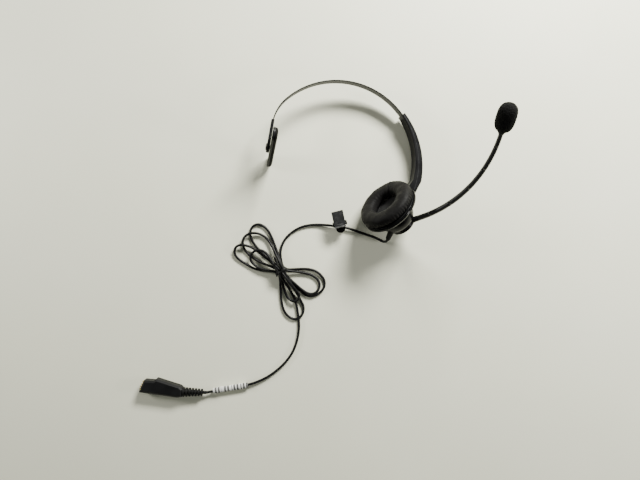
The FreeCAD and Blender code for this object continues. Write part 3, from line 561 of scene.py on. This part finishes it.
def rounded(points, rounds):
    """A closed profile with its corners cut round."""
    for _ in range(rounds):
        points = [
            (a[0] * (1 - t) + b[0] * t, a[1] * (1 - t) + b[1] * t)
            for a, b in zip(points, points[1:] + points[:1]) for t in (0.25, 0.75)
        ]
    return points


# boom: one smooth sheath over the links, cut half way along each link, where nothing bends
BOOM_BEND = 0.129      # the radius of its arc, in metres
LINK = 10.2            # each link's share of the arc, in degrees
BOOM_START, BOOM_END = -1.2, 51.6
BOOM_THICK, BOOM_TAPER, TAPER_TURN = 2.68, 0.8, 51     # half its thickness, and what that loses by the tip
along, inward = Vector(BOOM.col[2][:3]), -Vector(BOOM.col[0][:3])
sideways = along.cross(inward)


def on_boom(angle):
    """The boom's middle this many degrees along its arc."""
    turn = math.radians(angle)
    forward = along * (BOOM_BEND * math.sin(turn))
    return BOOM.translation + forward + inward * (BOOM_BEND * (1 - math.cos(turn)))


def sheath(number, start, end):
    """The part of the sheath between two angles of the arc."""
    stations = []
    for step in range(13):
        angle = start + (end - start) * step / 12
        turn = math.radians(angle)
        thick = 0.001 * (BOOM_THICK - BOOM_TAPER * max(0, angle) / TAPER_TURN)
        towards = inward * math.cos(turn) - along * math.sin(turn)
        stations.append((on_boom(angle), sideways, towards, thick, thick))
    return swept(f"boom_sheath_{number}", stations, 32)


for number in range(6):
    start = BOOM_START if number == 0 else LINK * (number - 0.5)
    end = BOOM_END if number == 5 else LINK * (number + 0.5)
    part = sheath(number, start, end)
    if number == 5:
        finish_piece(part, SHEATH, "boom_5", "boom_sheath", "boom_link_5")
        continue
    finish_piece(part, SHEATH, None, "boom_sheath", f"boom_link_{number + 1}")
    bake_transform(part)

# windscreen: a pitted foam capsule with the boom going in at its foot
FOAM_RADIUS, FOAM_FOOT, FOAM_TIP = 7.95, 1.6, 26.2
foam_profile = [(2.9, 20), (2.9, 3.0)]
for step in range(1, 61):
    share = -math.cos(math.pi * step / 60)
    bulge = FOAM_RADIUS * max(0.0, 1 - abs(share) ** 2.9) ** (1 / 2.4)
    if share > 0 or bulge > 3.2:
        height = 0.5 * (FOAM_FOOT + FOAM_TIP) + 0.5 * (FOAM_TIP - FOAM_FOOT) * share
        foam_profile.append((max(0.02, bulge), height))
foam_profile.append((0.02, 20))
windscreen_piece = turned_mesh("foam_windscreen", foam_profile, MIC, 160)
for vertex in windscreen_piece.data.vertices:
    spot = vertex.co * 1000
    pit = noise.noise(spot * 0.9) * 0.16 + noise.noise(spot * 2.1) * 0.12
    vertex.co += vertex.normal * (0.001 * pit)
finish_piece(windscreen_piece, FOAM, "boom_5", "foam", "windscreen")


# ear cushion: a crowned ring, swollen a little by pressure, then its seams, puckers and creases
CUSHION_PROFILE = [
    (12.6, 0.5), (26.4, 0.5), (28.0, 3.0), (28.2, 7.0), (26.4, 10.8), (21.4, 12.2), (15.8, 11.9), (12.0, 9.4),
    (11.9, 4.5),
]
VOXEL = 0.0015
HELD_BELOW = 0.0012         # the cushion's foot is held up to this height on the cup
SWELL_PRESSURE, SWELL_CAP = 400, 0.0009
SWELL_FRAMES = 20
INSET = 0.6                 # millimetres taken back after the swelling
SEAM_TURN = math.radians(35)


def settle(thing, pressure, cap, hold, voxel):
    """Remesh a closed mesh, swell it by pressure with the hold vertices kept and no point moved past the
    cap, and subdivide it once."""
    modifier = thing.modifiers.new("remesh", "REMESH")
    modifier.mode = "VOXEL"
    modifier.voxel_size = voxel
    bpy.context.view_layer.objects.active = thing
    bpy.context.view_layer.update()
    evaluated = thing.evaluated_get(bpy.context.evaluated_depsgraph_get())
    data = bpy.data.meshes.new_from_object(evaluated)
    thing.modifiers.clear()
    thing.data = data
    before = np.array([vertex.co for vertex in data.vertices])
    group = thing.vertex_groups.new(name="held")
    group.add([i for i, co in enumerate(before) if hold(Vector(co))], 1.0, "REPLACE")
    cloth = thing.modifiers.new("cloth", "CLOTH")
    cloth.settings.quality = 6
    cloth.settings.mass = 0.002
    cloth.settings.tension_stiffness = 2
    cloth.settings.compression_stiffness = 2
    cloth.settings.bending_stiffness = 0.05
    cloth.settings.use_pressure = True
    cloth.settings.uniform_pressure_force = pressure
    cloth.settings.vertex_group_mass = "held"
    cloth.settings.effector_weights.gravity = 0
    cloth.collision_settings.use_collision = False
    for number in range(1, SWELL_FRAMES + 1):
        bpy.context.scene.frame_set(number)
    evaluated = thing.evaluated_get(bpy.context.evaluated_depsgraph_get())
    swollen = bpy.data.meshes.new_from_object(evaluated)
    after = np.array([vertex.co for vertex in swollen.vertices])
    bpy.context.scene.frame_set(1)
    thing.modifiers.clear()
    thing.vertex_groups.clear()
    shift = after - before
    size = np.linalg.norm(shift, axis=1, keepdims=True)
    after = before + shift * np.minimum(1, cap / np.maximum(size, 1e-9))
    for vertex, co in zip(data.vertices, after):
        vertex.co = co
    print(thing.name, "swelled by up to", round(float(size.max()) * 1000, 2), "mm, kept to", cap * 1000)
    subdivide = thing.modifiers.new("subdivide", "SUBSURF")
    subdivide.levels = subdivide.render_levels = 1
    evaluated = thing.evaluated_get(bpy.context.evaluated_depsgraph_get())
    data = bpy.data.meshes.new_from_object(evaluated)
    thing.modifiers.clear()
    thing.data = data
    return smooth(thing)


def ramp(value, start, width):
    """0 up to the start, then rising to 1 over the width."""
    return max(0.0, min(1.0, (value - start) / width))


ear_pad = turned_mesh("ear_pad", rounded(CUSHION_PROFILE, 2), CUP, 96)
to_cup = CUP.inverted()
settle(ear_pad, SWELL_PRESSURE, SWELL_CAP, lambda co: (to_cup @ co).z < HELD_BELOW, VOXEL)
for vertex in ear_pad.data.vertices:
    local = (to_cup @ vertex.co) * 1000
    radius, turn = math.hypot(local.x, local.y), math.atan2(local.y, local.x)
    low = max(0.0, 1 - abs(local.z - 3.6) / 5.0) * ramp(radius, 23, 3)
    uneven = noise.noise(Vector((3 * math.cos(turn), 3 * math.sin(turn), 1)))
    pleat = math.sin(58 * turn + 5 * uneven) * (0.42 + 0.2 * uneven) * low
    inner = max(0.0, 1 - abs(radius - 13) / 4) * ramp(local.z, 4, 5)
    pucker = math.sin(27 * turn + 4 * uneven) * 0.2 * inner
    crown = ramp(local.z, 8, 4)
    ripple = noise.noise(Vector((local.x * 0.16, local.y * 0.16, 4))) * 0.5 * crown
    ripple += noise.noise(Vector((local.x * 0.5, local.y * 0.5, 9))) * 0.14 * crown
    seam = -0.5 * math.exp(-((local.z - 2.1) / 0.45) ** 2) * ramp(radius, 24, 2)
    from_join = math.atan2(math.sin(turn - SEAM_TURN), math.cos(turn - SEAM_TURN)) * radius
    join = -0.9 * math.exp(-(from_join / 0.6) ** 2) + 0.3 * math.exp(-((abs(from_join) - 1.6) / 0.9) ** 2)
    join *= ramp(local.z, 3, 4)
    vertex.co += vertex.normal * 0.001 * (pleat + pucker + ripple + seam + join - INSET)
finish_piece(ear_pad, SKIN, "ear_cup", "leatherette", "ear_cushion")

# temple pad's soft face, crowned between its edges
PAD_HALF_LONG, PAD_HALF_WIDE = 28.3, 6.85
PAD_BACK, PAD_CROWN = 3.72, 2.9
PAD_ROWS, PAD_SIDES = 60, 34


def temple_face():
    rings = []
    for row in range(PAD_ROWS + 1):
        lengthways = -PAD_HALF_LONG + 2 * PAD_HALF_LONG * row / PAD_ROWS
        over = max(0.0, abs(lengthways) - (PAD_HALF_LONG - PAD_HALF_WIDE))
        half = max(0.35, math.sqrt(max(0.0, PAD_HALF_WIDE ** 2 - over ** 2)))
        ends = min(1.0, (half / PAD_HALF_WIDE) ** 0.8)
        ring = []
        for turn in full_turn(PAD_SIDES):
            side = math.copysign(abs(math.cos(turn)) ** 0.62, math.cos(turn))
            rise = math.sin(turn)
            thick = PAD_CROWN * ends * math.copysign(abs(rise) ** 0.75, rise) if rise > 0 else 0.0
            ring.append((0.001 * (-PAD_BACK - thick), 0.001 * half * side, 0.001 * lengthways))
        rings.append(ring)
    mesh = ring_mesh("temple_pad_face", rings, capped=True, weld=0.00002)
    return smooth(place("temple_pad_face", mesh, PAD))


temple_piece = temple_face()
finish_piece(temple_piece, TEMPLE, "temple_pad", "temple_rubber", "temple_cushion")

# the twist tie round the hank: a flat band and two standing ends
UP = Vector((0, 0, 1))
TIE_ROOM = 1.6         # from the outermost strand's middle to the band
TIE_FOOT = 0.3
TIE_HALF_THICK = 0.0003
at_waist = [Vector(point) - WAIST for point in route]
at_waist = [point for point in at_waist if point.to_2d().length < 5 and abs(point.dot(WAIST_ALONG)) < 2]
TIE_TOP = max(point.z for point in at_waist) + TIE_ROOM
TIE_SIDE = max(abs(point.dot(WAIST_ACROSS)) for point in at_waist) + TIE_ROOM
tie_stations = []
for step in range(33):
    turn = 2 * math.pi * step / 32
    side = math.copysign(abs(math.cos(turn)) ** 0.6, math.cos(turn)) * TIE_SIDE
    upwards = math.copysign(abs(math.sin(turn)) ** 0.6, math.sin(turn))
    rise = TIE_FOOT + 0.5 * TIE_TOP + upwards * (0.5 * TIE_TOP - TIE_FOOT)
    middle = (WAIST - TABLE_ORIGIN + WAIST_ACROSS * side + UP * rise) * 0.001
    outward = (WAIST_ACROSS * math.cos(turn) + UP * math.sin(turn)).normalized()
    tie_stations.append((middle, WAIST_ALONG, outward, 0.0013, TIE_HALF_THICK))
tie_band = finish_piece(swept("tie_band", tie_stations, 12), TIE, "housing", "tie_black", "hank_tie")


def tie_end(number, points):
    """A loose end of the tie, twisting as it goes. The points' heights are from the top of the band."""
    stations = []
    spots = [table(x, y, z + TIE_TOP) for x, y, z in points]
    for index, spot in enumerate(spots):
        ahead = (spots[min(index + 1, len(spots) - 1)] - spots[max(index - 1, 0)]).normalized()
        side = ahead.cross(UP).normalized()
        up = side.cross(ahead)
        turn = 0.9 * index
        across = side * math.cos(turn) + up * math.sin(turn)
        over = up * math.cos(turn) - side * math.sin(turn)
        stations.append((spot, across, over, 0.0011, TIE_HALF_THICK))
    return finish_piece(swept(f"tie_end_{number}", stations, 10), TIE, "housing", "tie_black", "hank_tie")


tie_ends = [
    tie_end(1, [(-38.6, -30.0, 0.0), (-39.4, -27.6, 0.5), (-40.6, -24.8, 0.8), (-42.0, -21.8, 1.0),
                (-43.8, -18.6, 1.0), (-45.6, -15.6, 0.9)]),
    tie_end(2, [(-39.0, -31.4, 0.0), (-40.2, -32.8, 0.2), (-41.4, -34.2, 0.0), (-42.6, -35.8, -0.6)]),
]

# the label sleeve on the tail, a little flattened, with a UV map along and round it
LABEL_START, LABEL_END = table(-71.5, -144.3, 2.62), table(-106.4, -149.9, 2.75)
LABEL_HALF_WIDE, LABEL_HALF_HIGH = 0.00285, 0.00225
LABEL_SPAN = 0.009     # the width across the label that its UV map counts as 1
label_way = (LABEL_END - LABEL_START).normalized()
label_side = label_way.cross(UP).normalized()
label_stations = []
for step in range(37):
    share = step / 36
    tight = 1 - 0.16 * math.exp(-(share / 0.05) ** 2) - 0.16 * math.exp(-((1 - share) / 0.05) ** 2)
    wrinkle = 1 + 0.03 * noise.noise(Vector((share * 22, 2, 5)))
    middle = LABEL_START.lerp(LABEL_END, share)
    wide, high = LABEL_HALF_WIDE * tight * wrinkle, LABEL_HALF_HIGH * tight
    label_stations.append((middle, label_side, label_side.cross(label_way), wide, high))
label_piece = swept("label_sleeve", label_stations, 36)
layer = label_piece.data.uv_layers.new(name="sleeve")
for polygon in label_piece.data.polygons:
    for corner in polygon.loop_indices:
        co = label_piece.data.vertices[label_piece.data.loops[corner].vertex_index].co
        offset = co - LABEL_START
        length_on = offset.dot(label_way)
        side_on = offset.dot(label_side)
        layer.data[corner].uv = (length_on, 0.5 + side_on / LABEL_SPAN)
finish_piece(label_piece, SLEEVE, "housing", "label_white", "cord_label")

# cord
finish_piece(cord, JACKET, "housing", "cord_jacket", "cord_lead", "cord_hank", "cord_tail")
print("cord length", round(curve_length(cord), 3))     # the cord's own length, in metres

# ---------------------------------------------------------------------------- table and light

FLOOR_HALF = 3
corners = [(x * FLOOR_HALF, y * FLOOR_HALF, 0) for x, y in ((-1, -1), (1, -1), (1, 1), (-1, 1))]
floor_mesh = bpy.data.meshes.new("floor")
floor_mesh.from_pydata(corners, [], [(0, 1, 2, 3)])
floor = place("floor", floor_mesh)
floor_look = Shader("floor_look", 0.55)
patches = floor_look.spread(floor_look.noise(6, 3), 0.0, 1.0)
floor_look.color(floor_look.mix(patches, (0.84, 0.84, 0.68), (0.88, 0.88, 0.72)))
floor_look.bump(floor_look.noise(400, 3), 0.00003)
floor.data.materials.append(floor_look.material)


def lamp(name, spot, target, size, power, color):
    """A soft rectangular lamp at the spot, aimed at the target."""
    data = bpy.data.lights.new(name, "AREA")
    data.shape = "RECTANGLE"
    data.size, data.size_y = size
    data.energy = power
    data.color = color
    thing = bpy.data.objects.new(name, data)
    thing.location = spot
    thing.rotation_euler = (Vector(target) - Vector(spot)).to_track_quat("-Z", "Y").to_euler()
    bpy.context.scene.collection.objects.link(thing)
    return thing


lamp("lamp_back", (0.34, 0.62, 0.50), (0.14, 0.2, 0), (0.4, 0.2), 26, (1, 1, 0.94))
lamp("lamp_right", (0.80, -0.20, 0.34), (0, 0, 0), (0.2, 0.14), 2.6, (1, 0.99, 0.95))
lamp("lamp_left", (-0.80, 0.15, 0.34), (0, 0, 0), (0.2, 0.14), 3.0, (1, 0.99, 0.95))
world = bpy.data.worlds.new("world")
bpy.context.scene.world = world
world.use_nodes = True
world.node_tree.nodes["Background"].inputs["Color"].default_value = (0.95, 1.0, 0.94, 1)
world.node_tree.nodes["Background"].inputs["Strength"].default_value = 0.14
